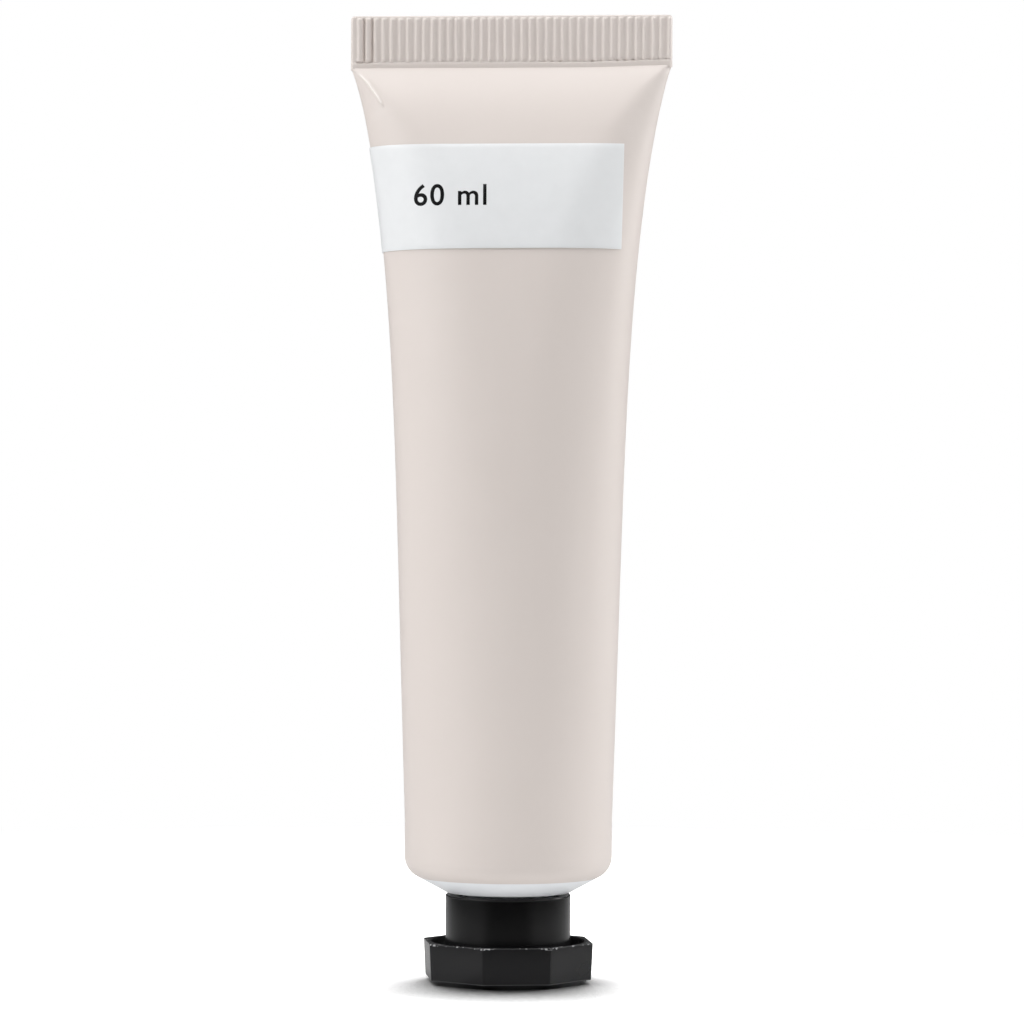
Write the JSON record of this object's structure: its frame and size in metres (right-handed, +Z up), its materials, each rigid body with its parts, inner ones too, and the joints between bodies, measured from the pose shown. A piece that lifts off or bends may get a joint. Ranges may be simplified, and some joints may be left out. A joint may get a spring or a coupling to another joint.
{
  "type": "squeeze tube",
  "caption": "Soft squeeze tube for skin cream with a ribbed welded end, a plain wrap label and an eight-sided screw cap that it stands on.",
  "frame": {"origin": "centre of the flat face that the cap stands on", "axes": "+Z up the tube's axis from the cap to the welded end, +X along the width of the welded end, and the label faces -Y"},
  "size_m": [0.0466, 0.03, 0.1401],
  "materials": {
    "cap_black": "satin",
    "liner_foam": "matte",
    "head_white": "satin",
    "sleeve_beige": "satin",
    "label_paper": "satin",
    "cream": "gloss"
  },
  "bodies": {
    "cap": {"cap": "cap_black"},
    "liner": {"cap_liner": "liner_foam"},
    "tube": {"tube_head": "head_white", "sleeve": "sleeve_beige", "label": "label_paper", "cream": "cream"}
  },
  "joints": [
    {"name": "cap_turn", "type": "hinge", "parent": "cap", "child": "liner", "pos_m": [0, 0, 0], "axis": [0, 0, 1], "range_deg": [0, 1620]},
    {"name": "cap_lift", "type": "slide", "parent": "liner", "child": "tube", "axis": [0, 0, 1], "range_m": [0, 0.01125]}
  ],
  "couplings": [
    {"joint": "cap_turn", "follows": "cap_lift", "rad_per_m": 2513.3}
  ]
}
